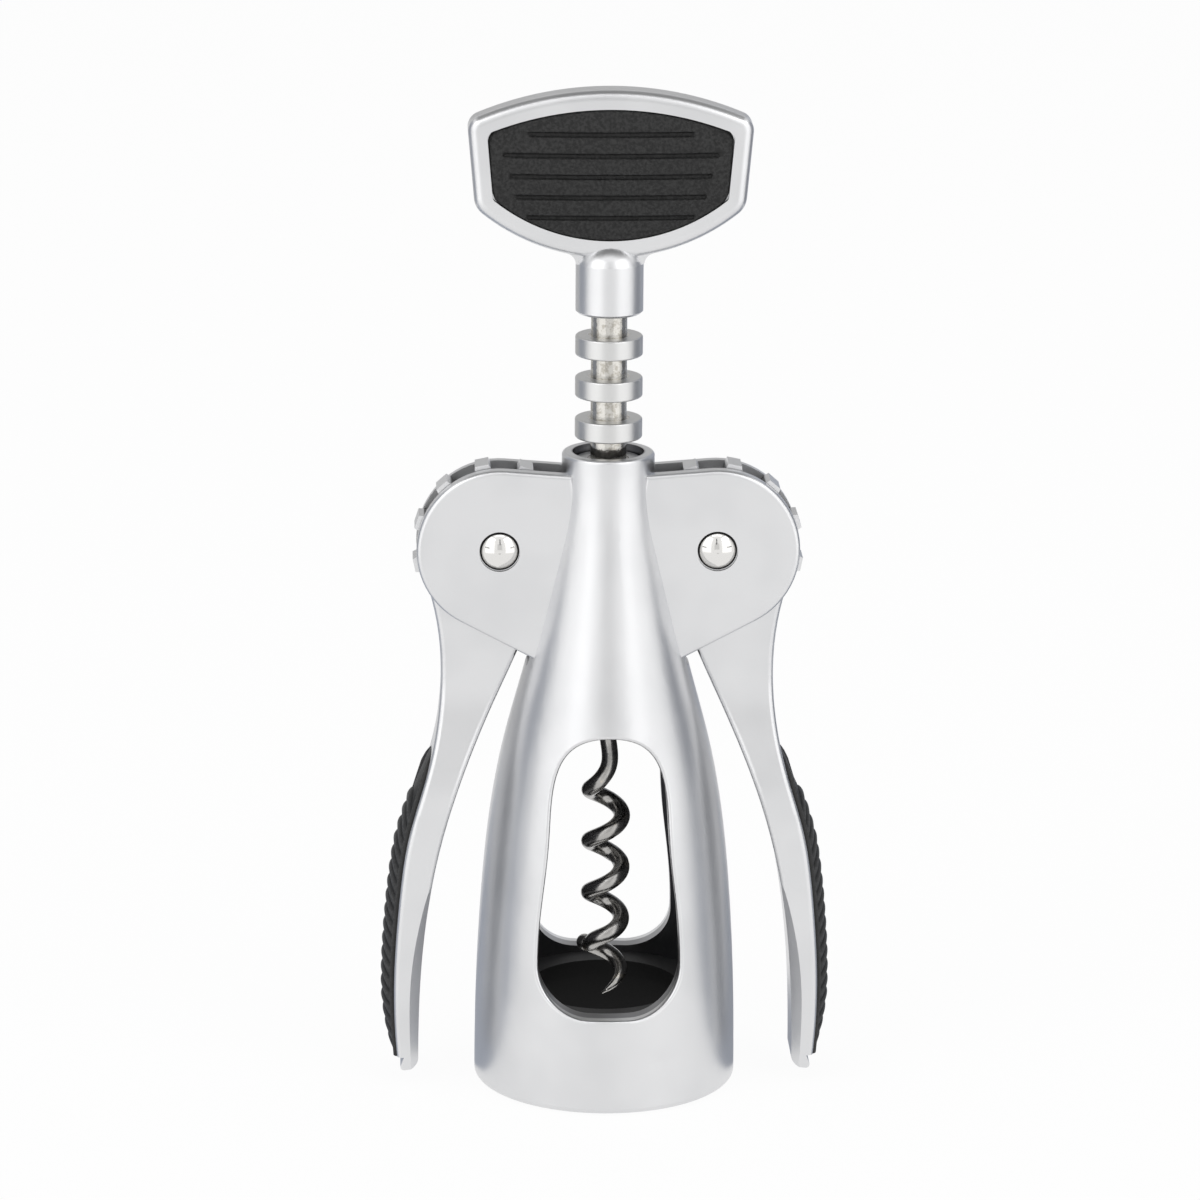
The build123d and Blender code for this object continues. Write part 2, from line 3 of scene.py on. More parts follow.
import bpy
import numpy as np
from mathutils import Matrix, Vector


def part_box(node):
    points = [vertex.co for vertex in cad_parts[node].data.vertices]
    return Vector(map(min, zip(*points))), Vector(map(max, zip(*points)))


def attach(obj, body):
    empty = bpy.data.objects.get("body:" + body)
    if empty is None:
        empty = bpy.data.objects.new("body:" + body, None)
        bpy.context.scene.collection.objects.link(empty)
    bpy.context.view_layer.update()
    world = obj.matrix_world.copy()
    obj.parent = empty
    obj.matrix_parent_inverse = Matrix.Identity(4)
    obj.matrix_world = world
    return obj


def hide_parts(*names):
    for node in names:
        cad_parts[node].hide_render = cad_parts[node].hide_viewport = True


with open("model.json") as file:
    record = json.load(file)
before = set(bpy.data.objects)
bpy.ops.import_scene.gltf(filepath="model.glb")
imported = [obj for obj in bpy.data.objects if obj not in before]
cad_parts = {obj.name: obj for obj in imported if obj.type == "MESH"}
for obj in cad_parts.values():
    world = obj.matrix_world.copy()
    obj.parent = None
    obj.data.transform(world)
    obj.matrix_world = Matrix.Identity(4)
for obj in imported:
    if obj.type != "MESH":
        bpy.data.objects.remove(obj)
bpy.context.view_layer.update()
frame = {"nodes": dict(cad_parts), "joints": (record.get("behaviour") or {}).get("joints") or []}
nodes = frame["nodes"]
millimetre = 0.001
white = (1.0, 1.0, 1.0)

# the levers' pivots, from the left one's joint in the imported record
leftJoint = next(joint for joint in frame["joints"] if joint["child"] == "left_wing")
pivotOut, pivotHeight = -leftJoint["pos_m"][0], leftJoint["pos_m"][2]
print("frame loaded:", len(nodes), "nodes")


# shader maths: a wrapped socket, so that a formula reads as one

class Wire:
    def __init__(self, tree, socket):
        self.tree = tree
        self.socket = socket

    def maths(self, operation, *values):
        inputs = dict(enumerate(values))
        return addNode(self.tree, "ShaderNodeMath", {"operation": operation}, inputs)

    def atLeast(self, other):
        return self.maths("MAXIMUM", self, other)

    def __abs__(self):
        return self.maths("ABSOLUTE", self)

    def __add__(self, other):
        return self.maths("ADD", self, other)

    def __sub__(self, other):
        return self.maths("SUBTRACT", self, other)

    def __rsub__(self, other):
        return self.maths("SUBTRACT", other, self)

    def __mul__(self, other):
        return self.maths("MULTIPLY", self, other)

    def __truediv__(self, other):
        return self.maths("DIVIDE", self, other)

    def __pow__(self, other):
        return self.maths("POWER", self, other)

    __radd__ = __add__
    __rmul__ = __mul__


def join(tree, value, socket):
    # a wire is linked, anything else is the socket's own value, and a colour is opaque
    if isinstance(value, Wire):
        tree.links.new(value.socket, socket)
    else:
        socket.default_value = (*value, 1.0) if socket.type == "RGBA" else value


def addNode(tree, kind, settings=None, inputs=None, output=0):
    # settings first, then the values or links of its sockets
    node = tree.nodes.new(kind)
    for key, value in (settings or {}).items():
        setattr(node, key, value)
    for key, value in (inputs or {}).items():
        join(tree, value, node.inputs[key])
    return Wire(tree, node.outputs[output])


def length2(a, b):
    # how far, from two distances square to each other
    return (a * a + b * b) ** 0.5


class Finish:
    # one material: its principled shader and the nodes that feed it
    def __init__(self, name):
        self.material = bpy.data.materials.new(name)
        self.material.use_nodes = True
        self.tree = self.material.node_tree
        self.shader = self.tree.nodes["Principled BSDF"]

    def add(self, kind, settings=None, inputs=None, output=0):
        return addNode(self.tree, kind, settings, inputs, output)

    def set(self, **values):
        # keyword names stand for the shader's sockets, with underscores for spaces
        for key, value in values.items():
            join(self.tree, value, self.shader.inputs[key.replace("_", " ")])

    def show(self, wire):
        # what the material shows in place of its principled shader
        join(self.tree, wire, self.tree.nodes["Material Output"].inputs["Surface"])

    def glow(self, shade, tint=white):
        return self.add("ShaderNodeEmission", inputs={"Color": tint, "Strength": shade})

    def point(self):
        # where on the piece, in metres
        return self.add("ShaderNodeTexCoord", output="Object")

    def axes(self, point):
        split = self.add("ShaderNodeSeparateXYZ", inputs={"Vector": point}).socket.node
        return [Wire(self.tree, socket) for socket in split.outputs]

    def noise(self, point, scale, detail, roughness=0.6):
        values = {"Vector": point, "Scale": scale, "Detail": detail, "Roughness": roughness}
        return self.add("ShaderNodeTexNoise", inputs=values)

    def step(self, value, low, high):
        # 0 below low, 1 above high, smooth between
        values = {"Value": value, "From Min": low, "From Max": high}
        return self.add("ShaderNodeMapRange", {"interpolation_type": "SMOOTHSTEP"}, values)

    def blend(self, share, first, second):
        # a colour between two others
        inputs = {0: share, 6: first, 7: second}
        return self.add("ShaderNodeMix", {"data_type": "RGBA"}, inputs, output=2)

    def bump(self, height, distance, strength):
        values = {"Height": height, "Distance": distance, "Strength": strength}
        return self.add("ShaderNodeBump", inputs=values)


# new surfaces: a grid of points, closed across, whose first and last rows are single points;
# the painted light is kept on the points for the finish, which paints shade with it: 0 in a groove,
# 1 on the open surface

def surfacePiece(name, grid, lift, finish):
    rows, columns = grid.shape[:2]
    points = np.concatenate([grid[:1, 0], grid[1:-1].reshape(-1, 3), grid[-1:, 0]]) * millimetre
    ring = np.arange(columns)
    beside = (ring + 1) % columns
    start = 1 + columns * np.arange(rows - 3)[:, None]
    corners = (start + ring, start + beside, start + columns + beside, start + columns + ring)
    quads = np.stack(corners, axis=-1).reshape(-1, 4)
    last = 1 + columns * (rows - 3)
    caps = np.concatenate([
        np.stack([np.zeros(columns, int), 1 + beside, 1 + ring], axis=-1),
        np.stack([np.full(columns, len(points) - 1), last + ring, last + beside], axis=-1),
    ])
    # the volume inside goes with the sum of its corners' triple products: below nought, the faces
    # point inwards and are turned round
    triangles = np.concatenate([quads[:, :3], quads[:, [0, 2, 3]], caps])
    a, b, c = (points[triangles[:, corner]] for corner in range(3))
    if np.einsum("ij,ij->i", a, np.cross(b, c)).sum() < 0:
        quads, caps = quads[:, ::-1], caps[:, ::-1]
    mesh = bpy.data.meshes.new(name)
    mesh.from_pydata(points.tolist(), [], quads.tolist() + caps.tolist())
    mesh.polygons.foreach_set("use_smooth", np.ones(len(mesh.polygons), bool))
    lift = np.concatenate([lift[:1, 0], lift[1:-1].ravel(), lift[-1:, 0]])
    mesh.attributes.new("lift", "FLOAT", "POINT").data.foreach_set("value", lift)
    mesh.update()
    mesh.materials.append(finish)
    piece = bpy.data.objects.new(name, mesh)
    bpy.context.scene.collection.objects.link(piece)
    return piece


def rubberPiece(piece, node, body):
    # moulded rubber with no slack, in place of its plain solid
    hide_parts(node)
    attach(piece, body)


def splineThrough(points, count):
    # natural cubic spline by chord length: second derivatives from the usual row of equations
    points = np.array(points, float)
    knots = np.concatenate([[0.0], np.cumsum(np.linalg.norm(np.diff(points, axis=0), axis=1))])
    gaps = np.diff(knots)
    inner = np.arange(1, len(points) - 1)
    system = np.eye(len(points))
    system[inner, inner - 1] = gaps[:-1]
    system[inner, inner] = 2 * (gaps[:-1] + gaps[1:])
    system[inner, inner + 1] = gaps[1:]
    right = np.zeros_like(points)
    right[1:-1] = 6 * np.diff(np.diff(points, axis=0) / gaps[:, None], axis=0)
    bends = np.linalg.solve(system, right)
    at = np.linspace(0.0, knots[-1], count)
    span = np.clip(np.searchsorted(knots, at, side="right") - 1, 0, len(gaps) - 1)
    gap = gaps[span][:, None]
    along = ((at - knots[span]) / gaps[span])[:, None]
    back = 1 - along
    straight = points[span] * back + points[span + 1] * along
    curved = (back**3 - back) * bends[span] + (along**3 - along) * bends[span + 1]
    return straight + curved * gap**2 / 6


def smoothShare(value, low, high):
    # three times the share squared less twice its cube, from 0 at low to 1 at high
    share = np.clip((value - low) / (high - low), 0.0, 1.0)
    return share * share * (3 - 2 * share)


# finishes: a noise is its scale, detail and roughness, a relief its height in metres and strength,
# and a range the noise values between which a colour runs from one end to the other

def satinZinc(name):
    # satin-plated casting: pearl grain a few tenths of a millimetre across, a little cloud in it
    look = {
        "light": (0.74, 0.742, 0.75), "dark": (0.70, 0.703, 0.712),
        "cloud": (60.0, 2.0), "cloudRange": (0.35, 0.65), "grain": (4200.0, 2.0, 0.5),
        "roughness": 0.27, "unevenness": 0.05, "relief": (0.00001, 0.5),
    }
    finish = Finish(name)
    point = finish.point()
    cloud = finish.noise(point, *look["cloud"])
    grain = finish.noise(point, *look["grain"])
    colour = finish.blend(finish.step(cloud, *look["cloudRange"]), look["dark"], look["light"])
    finish.set(
        Base_Color=colour,
        Metallic=1.0,
        Roughness=look["roughness"] + look["unevenness"] * cloud + look["unevenness"] * grain,
        Normal=finish.bump(grain, *look["relief"]),
    )
    return finish, point, colour


def bellZinc():
    # The inner wall is painted dark, as painted shade inside the bell. The bell's outer radius is
    # the foot's less the curve times the height in millimetres to its power, and never below the
    # neck's. A painted shadow, a dark line, goes round each axle cap on the ear plates' outside,
    # where the gap beside the cap is in shade.
    inside = {
        "colour": (0.23, 0.23, 0.24), "foot": 0.0225, "neck": 0.0081, "curve": 1.77e-7,
        "power": 2.5, "wall": 0.0017, "edge": 0.0004,
    }
    capShadow = {
        "colour": (0.02, 0.02, 0.02), "from": 0.0028, "to": 0.00338, "soft": 0.00006,
        "plate": 0.004,
    }
    finish, point, colour = satinZinc("bell_zinc")
    x, y, z = finish.axes(point)
    rise = (z.atLeast(0.0) / millimetre) ** inside["power"] * inside["curve"]
    outer = (inside["foot"] - rise).atLeast(inside["neck"]) - inside["wall"]
    # painted shade: the bell's inner wall is darkened where it lies in shade
    insideShade = 1 - finish.step(length2(x, y), outer - inside["edge"], outer)
    # painted shadow: a dark ring round each axle cap, where the gap beside the cap is in shade
    fromAxle = length2(abs(x) - pivotOut, z - pivotHeight)
    ring = finish.step(fromAxle, capShadow["from"] - capShadow["soft"], capShadow["from"])
    ring = ring * (1 - finish.step(fromAxle, capShadow["to"] - capShadow["soft"], capShadow["to"]))
    ring = ring * finish.step(abs(y), capShadow["plate"], capShadow["plate"] + capShadow["soft"])
    colour = finish.blend(insideShade, colour, inside["colour"])
    finish.set(Base_Color=finish.blend(ring, colour, capShadow["colour"]))
    return finish.material


def leverZinc():
    # tooth tips in the satin colour, and painted shade in the gaps between them: dark, with fine
    # cast lines across
    teeth = {
        "tip": 0.01405, "root": 0.0115, "soft": 0.0003, "below": 0.006, "belowSoft": 0.0005,
        "dark": (0.035, 0.035, 0.037), "pale": (0.30, 0.30, 0.305),
        "stretch": (7000.0, 500.0, 7000.0), "lines": (1.0, 3.0, 0.7), "lineRange": (0.35, 0.65),
    }
    finish, point, colour = satinZinc("lever_zinc")
    x, y, z = finish.axes(point)
    fromPivot = length2(abs(x) - pivotOut, z - pivotHeight)
    # painted shade between the teeth, where the rear ear and the gear's root lie in shadow
    gap = finish.step(fromPivot, teeth["root"], teeth["root"] + teeth["soft"])
    gap = gap * (1 - finish.step(fromPivot, teeth["tip"] - teeth["soft"], teeth["tip"]))
    lowest = pivotHeight - teeth["below"]
    gap = gap * finish.step(z, lowest, lowest + teeth["belowSoft"])
    stretched = finish.add("ShaderNodeMapping", inputs={"Vector": point, "Scale": teeth["stretch"]})
    lines = finish.noise(stretched, *teeth["lines"])
    shadeAndCastLines = finish.blend(finish.step(lines, *teeth["lineRange"]), teeth["dark"], teeth["pale"])
    finish.set(Base_Color=finish.blend(gap, colour, shadeAndCastLines))
    return finish.material


def ringSleeve():
    # satin rings on a polished sleeve, warm and blotched between them
    look = {
        "ring": (0.66, 0.66, 0.655), "ringRoughness": 0.30,
        "grain": (4200.0, 2.0, 0.5), "unevenness": 0.05,
        "neck": (0.60, 0.585, 0.55), "neckRoughness": 0.12, "radius": 0.0034, "soft": 0.0002,
        "stain": (0.42, 0.40, 0.36), "blotch": (700.0, 3.0, 0.65), "blotchRange": (0.45, 0.62),
        "relief": (0.0001, 0.5),
    }
    finish = Finish("ring_sleeve_nickel")
    point = finish.point()
    x, y, z = finish.axes(point)
    polished = 1 - finish.step(length2(x, y), look["radius"], look["radius"] + look["soft"])
    blotch = finish.noise(point, *look["blotch"])
    grain = finish.noise(point, *look["grain"])
    neck = finish.blend(finish.step(blotch, *look["blotchRange"]), look["neck"], look["stain"])
    roughness = look["ringRoughness"] + look["unevenness"] * grain
    finish.set(
        Base_Color=finish.blend(polished, look["ring"], neck),
        Metallic=1.0,
        Roughness=roughness - polished * (look["ringRoughness"] - look["neckRoughness"]),
        Normal=finish.bump(blotch * polished, *look["relief"]),
    )
    return finish.material


def wormSteel():
    # dark polished wire with warm rubbed patches
    look = {
        "dark": (0.45, 0.44, 0.425), "rubbed": (0.72, 0.65, 0.54),
        "patch": (330.0, 5.0, 0.7), "patchRange": (0.56, 0.72), "scuff": (1800.0, 3.0),
        "roughness": 0.17, "scuffRoughness": 0.16, "relief": (0.00003, 0.4),
    }
    finish = Finish("worm_steel")
    point = finish.point()
    patch = finish.noise(point, *look["patch"])
    scuff = finish.noise(point, *look["scuff"])
    rubbed = finish.step(patch, *look["patchRange"])
    finish.set(
        Base_Color=finish.blend(rubbed, look["dark"], look["rubbed"]),
        Metallic=1.0,
        Roughness=look["roughness"] + look["scuffRoughness"] * scuff,
        Normal=finish.bump(scuff, *look["relief"]),
    )
    return finish.material


def plainMetal(name, colour, roughness):
    # one colour, also for the nylon, which is too small and hidden for more
    look = {"scuff": (900.0, 4.0), "scuffRoughness": 0.08}
    finish = Finish(name)
    scuff = finish.noise(finish.point(), *look["scuff"])
    roughness = roughness + look["scuffRoughness"] * scuff
    finish.set(Base_Color=colour, Metallic=1.0, Roughness=roughness)
    return finish.material


def blackRubber(name, grainScale, low, high, relief):
    # grain from the shade low to the paler high, and painted shade, black, in the grooves, by the
    # points' painted light
    look = {
        "groove": (0.0012, 0.0012, 0.0012), "grain": (3.0, 0.65), "grainRange": (0.36, 0.66),
        "patch": (220.0, 3.0), "roughness": 0.42, "patchRoughness": 0.2, "sheen": 0.35,
    }
    finish = Finish(name)
    point = finish.point()
    grain = finish.noise(point, grainScale, *look["grain"])
    patch = finish.noise(point, *look["patch"])
    lift = finish.add("ShaderNodeAttribute", {"attribute_name": "lift"}, output="Fac")
    paler = finish.step(grain, *look["grainRange"])
    colour = finish.blend(paler, (low, low, low), (high, high, high))
    finish.set(
        Base_Color=finish.blend(lift, look["groove"], colour),
        Roughness=look["roughness"] + look["patchRoughness"] * patch,
        Specular_IOR_Level=look["sheen"],
        Normal=finish.bump(grain, *relief),
    )
    return finish.material


def blackPlastic(name):
    # a paler black ring on top, and painted shade, darker, down its hole
    look = {
        "ring": (0.026, 0.026, 0.0265), "hole": (0.002, 0.002, 0.002), "radius": 0.0129,
        "edge": 0.0004, "soft": 0.0002, "grain": (3000.0, 2.0), "roughness": 0.5,
        "grainRoughness": 0.1, "sheen": 0.3, "relief": (0.00004, 0.4),
    }
    finish = Finish(name)
    point = finish.point()
    x, y, z = finish.axes(point)
    grain = finish.noise(point, *look["grain"])
    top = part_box("bottle_guide")[1][2] - look["edge"]
    outside = finish.step(length2(x, y), look["radius"], look["radius"] + look["soft"])
    # painted shade: all but the top ring takes the darker colour
    onTop = outside * finish.step(z, top - look["soft"], top)
    finish.set(
        Base_Color=finish.blend(onTop, look["hole"], look["ring"]),
        Roughness=look["roughness"] + look["grainRoughness"] * grain,
        Specular_IOR_Level=look["sheen"],
        Normal=finish.bump(grain, *look["relief"]),
    )
    return finish.material


print("making finishes")
zinc = satinZinc("satin_zinc")[0].material
bell = bellZinc()
lever = leverZinc()
sleeve = ringSleeve()
nickel = plainMetal("bright_nickel", colour=(0.78, 0.77, 0.75), roughness=0.06)
steel = plainMetal("spindle_steel", colour=(0.55, 0.55, 0.56), roughness=0.25)
worm = wormSteel()
gripRubber = blackRubber("grip_rubber", 2300.0, low=0.034, high=0.060, relief=(0.00008, 1.0))
padRubber = blackRubber("pad_rubber", 1900.0, low=0.003, high=0.022, relief=(0.00026, 1.0))
plastic = blackPlastic("black_plastic")
nylon = plainMetal("washer_nylon", colour=(0.8, 0.8, 0.78), roughness=0.4)

# the caps and axles, which aren't named here, are bright nickel
finishOf = {
    "bell_frame": bell, "left_lever": lever, "right_lever": lever, "handle_frame": zinc,
    "rack_sleeve": sleeve, "spindle": steel, "handle_pin": steel, "worm": worm,
    "bottle_guide": plastic, "upper_thrust_washer": nylon, "lower_thrust_washer": nylon,
    "left_grip": gripRubber, "right_grip": gripRubber,
    "front_handle_pad": padRubber, "rear_handle_pad": padRubber,
}
for name, node in nodes.items():
    node.data.materials.clear()
    node.data.materials.append(finishOf.get(name, nickel))


# lever grips

def leverGrip(name, side, node, body):
    # Carried along the arm's outer edge. Across it stand a bead at each rim and between them an
    # arched rope, which dips between its ribs: the arch times the rope's height less the rib's,
    # with the rib's half circle added. Lengths are in millimetres: the edge is given as out from
    # the pivot and below it, and the rope as below the pivot and its height.
    grip = {
        "edge": (
            (11.9, 7.5), (10.0, 25.5), (11.6, 36.5), (15.2, 49.2), (17.1, 62.2), (18.0, 77.2),
            (17.1, 93.4),
        ),
        "samples": 2000, "start": 35.8, "end": 90.9, "rows": 430, "across": 64, "under": 10,
        "neck": 2.4, "halfWidth": 6.3, "tipHalfWidth": 4.8, "flare": (22.6, 46.6),
        "armDrop": 92.3, "topRound": 4.5, "tipRound": 1.2, "depth": 0.25,
        "beadHeight": 0.75, "beadShare": 0.8, "beadMiddle": 0.92, "beadHalf": 0.08,
        "rope": (
            (35.8, 0.0), (38.0, 0.62), (41.0, 1.15), (45.0, 1.75), (52.0, 2.2), (62.0, 2.32),
            (80.0, 2.3), (84.3, 2.0), (87.6, 1.5), (90.0, 0.9), (90.9, 0.0),
        ),
        "ropeHalf": 0.85, "rib": 0.8, "ribShare": 0.6, "pitch": 2.55, "ribsFrom": 43.2,
        "ribs": 18, "plainLobe": 0.45, "slant": 3.5, "slantHalf": 5.3, "slantPower": 2.2,
        "liftFrom": 0.3, "liftPower": 3, "beadLift": 0.8,
    }
    path = splineThrough(grip["edge"], grip["samples"])
    drop = np.linspace(grip["start"], grip["end"], grip["rows"])
    out = np.interp(drop, path[:, 1], path[:, 0])
    slope = np.gradient(out, drop)
    normalOut, normalUp = np.array([np.ones_like(slope), slope]) / np.sqrt(1 + slope**2)

    # half its width: the arm's flare and taper, rounded off at both ends
    flare = smoothShare(drop, *grip["flare"])
    taper = np.clip((drop - grip["flare"][1]) / (grip["armDrop"] - grip["flare"][1]), 0, 1)
    half = grip["neck"] + (grip["halfWidth"] - grip["neck"]) * flare
    half -= (grip["halfWidth"] - grip["tipHalfWidth"]) * taper
    fromTop = (drop - grip["start"]) / grip["topRound"]
    fromTip = (grip["end"] - drop) / grip["tipRound"]
    ends = np.clip(np.minimum(fromTop, fromTip), 0, 1)
    half *= np.sqrt(1 - (1 - ends) ** 2)

    # the rope's ribs lean up towards the rims
    across = -np.cos(np.linspace(0, np.pi, grip["across"]))
    height = np.interp(drop, *np.array(grip["rope"]).T)[:, None]
    lean = np.abs(across * half[:, None] / grip["slantHalf"]) ** grip["slantPower"]
    turn = (drop[:, None] - grip["slant"] * lean - grip["ribsFrom"]) / grip["pitch"]
    lobe = np.sqrt(1 - (2 * (turn % 1.0) - 1) ** 2)
    lobe = np.where((turn < 0) | (turn > grip["ribs"]), grip["plainLobe"], lobe)
    arch = np.sqrt(np.clip(1 - (across / grip["ropeHalf"]) ** 2, 0, 1))
    rib = np.minimum(grip["rib"], grip["ribShare"] * height)
    rope = arch * (height - rib + rib * lobe)
    fromBead = (np.abs(across) - grip["beadMiddle"]) / grip["beadHalf"]
    bead = np.sqrt(np.clip(1 - fromBead**2, 0, 1))
    crown = np.maximum(rope, bead * np.minimum(grip["beadHeight"], grip["beadShare"] * height))

    # painted shade, dark between the ribs and beside the beads, and a flat underside let into the
    # arm
    ribPaintedLight = np.where(arch > grip["liftFrom"], lobe ** grip["liftPower"], 0.0)
    lift = np.maximum(ribPaintedLight, grip["beadLift"] * bead)
    lift = np.concatenate([lift, np.zeros((grip["rows"], grip["under"]))], axis=1)
    below = np.full((grip["rows"], grip["under"]), -grip["depth"])
    rise = np.concatenate([crown, below], axis=1)
    v = np.concatenate([across, np.linspace(1, -1, grip["under"])])[None, :]
    x = side * (pivotOut / millimetre + out[:, None] + normalOut[:, None] * rise)
    z = pivotHeight / millimetre - drop[:, None] + normalUp[:, None] * rise
    grid = np.stack([x, v * half[:, None], z], axis=-1)
    rubberPiece(surfacePiece(name, grid, lift, gripRubber), node, body)


print("making the lever grips")
leverGrip("left_grip_rubber", -1, "left_grip", "left_wing")
leverGrip("right_grip_rubber", 1, "right_grip", "right_wing")


# handle pads

def handlePad(name, face, node):
    # Polar grid out from the middle to the outline, where a rounded least of the distances in from
    # the handle's four edges is nought. Its depth is an ellipsoid's crown, less a rounded edge and
    # the grooves, whose depth falls with the distance from their middle to a power. Lengths are in
    # millimetres, and x and z are the handle's own.
    pad = {
        "rim": 3.15, "top": 172.8, "topRise": 5.2, "halfWidth": 23.9, "sideTop": 167.6,
        "bottom": 144.4, "bottomRise": 8.6, "footHalfWidth": 22.6, "sideBottom": 153.0,
        "topCorner": 1.5, "footCorner": 0.95, "middle": 158.6,
        "face": 3.25, "crown": 1.6, "crownAxes": (34.2, 8.0, 19.0), "web": 2.07, "edge": 0.6,
        "grooves": (14.2, 16.1, 17.1, 18.2, 14.0), "pitch": 3.5, "grooveDepth": 0.55,
        "grooveHalf": 0.45, "groovePower": 4, "grooveEnd": 0.6, "grooveShade": 0.5,
        "angles": 640, "rings": 100, "ringPower": 1.35, "farthest": 40.0, "halvings": 40,
    }
    topRadius = (pad["halfWidth"] ** 2 + pad["topRise"] ** 2) / (2 * pad["topRise"])
    bottomRadius = (pad["footHalfWidth"] ** 2 + pad["bottomRise"] ** 2) / (2 * pad["bottomRise"])
    lean = (pad["halfWidth"] - pad["footHalfWidth"]) / (pad["sideTop"] - pad["sideBottom"])

    def inwards(x, z):
        halfWidth = pad["footHalfWidth"] + lean * (z - pad["sideBottom"])
        sides = (halfWidth - np.abs(x)) / np.sqrt(1 + lean**2)
        over = topRadius - np.hypot(x, z - pad["top"] + topRadius)
        under = bottomRadius - np.hypot(x, z - pad["bottom"] - bottomRadius)
        corner = np.where(z > pad["middle"], pad["topCorner"], pad["footCorner"])
        short = [
            np.maximum(corner - (distance - pad["rim"]), 0)
            for distance in (sides, over, under)
        ]
        return corner - np.sqrt(sum(part**2 for part in short))

    # the outline's radius at each angle, by halving
    angle = np.linspace(0, 2 * np.pi, pad["angles"], endpoint=False)
    near, far = np.zeros_like(angle), np.full_like(angle, pad["farthest"])
    for halving in range(pad["halvings"]):
        reach = (near + far) / 2
        inside = inwards(reach * np.cos(angle), pad["middle"] + reach * np.sin(angle)) > 0
        near, far = np.where(inside, reach, near), np.where(inside, far, reach)

    share = 1 - (1 - np.linspace(0, 1, pad["rings"])) ** pad["ringPower"]
    x = share[:, None] * near * np.cos(angle)
    z = pad["middle"] + share[:, None] * near * np.sin(angle)
    a, b, c = pad["crownAxes"]
    crown = np.sqrt(np.clip(1 - (x / a) ** 2 - ((z - pad["middle"]) / c) ** 2, 0, 1))
    depth = pad["face"] + pad["crown"] - b * (1 - crown)
    fromEdge = np.clip(near * (1 - share[:, None]), 0, pad["edge"])
    depth -= pad["edge"] - np.sqrt(pad["edge"] ** 2 - (pad["edge"] - fromEdge) ** 2)

    # painted shade: the grooves' colour is darkened, besides their depth
    lift = np.ones_like(depth)
    middleGroove = (len(pad["grooves"]) - 1) / 2
    for index, halfLength in enumerate(pad["grooves"]):
        off = np.abs(z - pad["middle"] - (index - middleGroove) * pad["pitch"]) / pad["grooveHalf"]
        groove = np.clip(1 - off ** pad["groovePower"], 0, 1)
        groove = groove * smoothShare(halfLength - np.abs(x), 0.0, pad["grooveEnd"])
        depth -= pad["grooveDepth"] * groove
        lift -= pad["grooveShade"] * groove

    # the crowned face, its edge straight back to the web, and the web's middle
    front = np.stack([x, face * depth, z], axis=-1)
    flat = np.stack([x[-1], np.full_like(angle, face * pad["web"]), z[-1]], axis=-1)
    centre = np.tile([0.0, face * pad["web"], pad["middle"]], (pad["angles"], 1))
    grid = np.concatenate([front, flat[None], centre[None]])
    lift = np.concatenate([lift, np.zeros((2, pad["angles"]))])
    rubberPiece(surfacePiece(name, grid, lift, padRubber), node, "screw")


print("making the handle pads")
handlePad("front_pad_rubber", -1, "front_handle_pad")
handlePad("rear_pad_rubber", 1, "rear_handle_pad")


# camera, lamps and cards are set by azimuth, 0 in front and 90 at +X, and elevation, in degrees

def awayAt(azimuth, elevation=0.0):
    # one metre from the object: sine and minus cosine of the azimuth, both by the cosine of the
    # elevation, and its sine upwards
    a, e = np.radians([azimuth, elevation])
    return np.array([np.sin(a) * np.cos(e), -np.cos(a) * np.cos(e), np.sin(e)])


def asideAt(azimuth):
    # level and square to that, towards the right of a camera there
    a = np.radians(azimuth)
    return np.array([np.cos(a), np.sin(a), 0.0])


def stand(name, data, right, up, back, place):
    # a camera or lamp, which looks along minus its third axis
    matrix = np.eye(4)
    matrix[:3, 0], matrix[:3, 1], matrix[:3, 2], matrix[:3, 3] = right, up, back, place
    thing = bpy.data.objects.new(name, data)
    bpy.context.scene.collection.objects.link(thing)
    thing.matrix_world = Matrix(matrix.tolist())
    return thing


def pictureCamera():
    # it looks at the aim point, and its roll leans the object to the right
    view = {
        "lens": 171.0, "sensor": 36.0, "clip": 0.01, "azimuth": -2.2, "elevation": 15.5,
        "roll": 0.4, "distance": 0.9685, "aimHeight": 0.08467, "aimAside": -0.001223,
    }
    back = awayAt(view["azimuth"], view["elevation"])
    right = asideAt(view["azimuth"])
    up = np.cross(back, right)
    roll = np.radians(view["roll"])
    aim = np.array([0.0, 0.0, view["aimHeight"]]) + right * view["aimAside"]
    data = bpy.data.cameras.new("camera")
    data.lens = view["lens"]
    data.sensor_width = view["sensor"]
    data.clip_start = view["clip"]
    rolledRight = right * np.cos(roll) + up * np.sin(roll)
    rolledUp = up * np.cos(roll) - right * np.sin(roll)
    place = aim + back * view["distance"]
    bpy.context.scene.camera = stand("camera", data, rolledRight, rolledUp, back, place)


# studio

def seenDirectly(tree):
    # 1 for camera, glossy and transmission rays, 0 for the rays that light matt surfaces
    rays = addNode(tree, "ShaderNodeLightPath", output="Is Camera Ray")
    for kind in ("Is Glossy Ray", "Is Transmission Ray"):
        rays = rays.atLeast(addNode(tree, "ShaderNodeLightPath", output=kind))
    return rays


def studioWorld():
    light = {"background": 1.0, "fill": 0.55}
    world = bpy.data.worlds.new("studio")
    world.use_nodes = True
    bpy.context.scene.world = world
    tree = world.node_tree
    background = tree.nodes["Background"]
    strength = seenDirectly(tree) * (light["background"] - light["fill"]) + light["fill"]
    join(tree, white, background.inputs["Color"])
    join(tree, strength, background.inputs["Strength"])


def stagePlate(name, corners, finish):
    mesh = bpy.data.meshes.new(name)
    mesh.from_pydata([tuple(map(float, corner)) for corner in corners], [], [(0, 1, 2, 3)])
    mesh.materials.append(finish)
    plate = bpy.data.objects.new(name, mesh)
    bpy.context.scene.collection.objects.link(plate)
    return plate


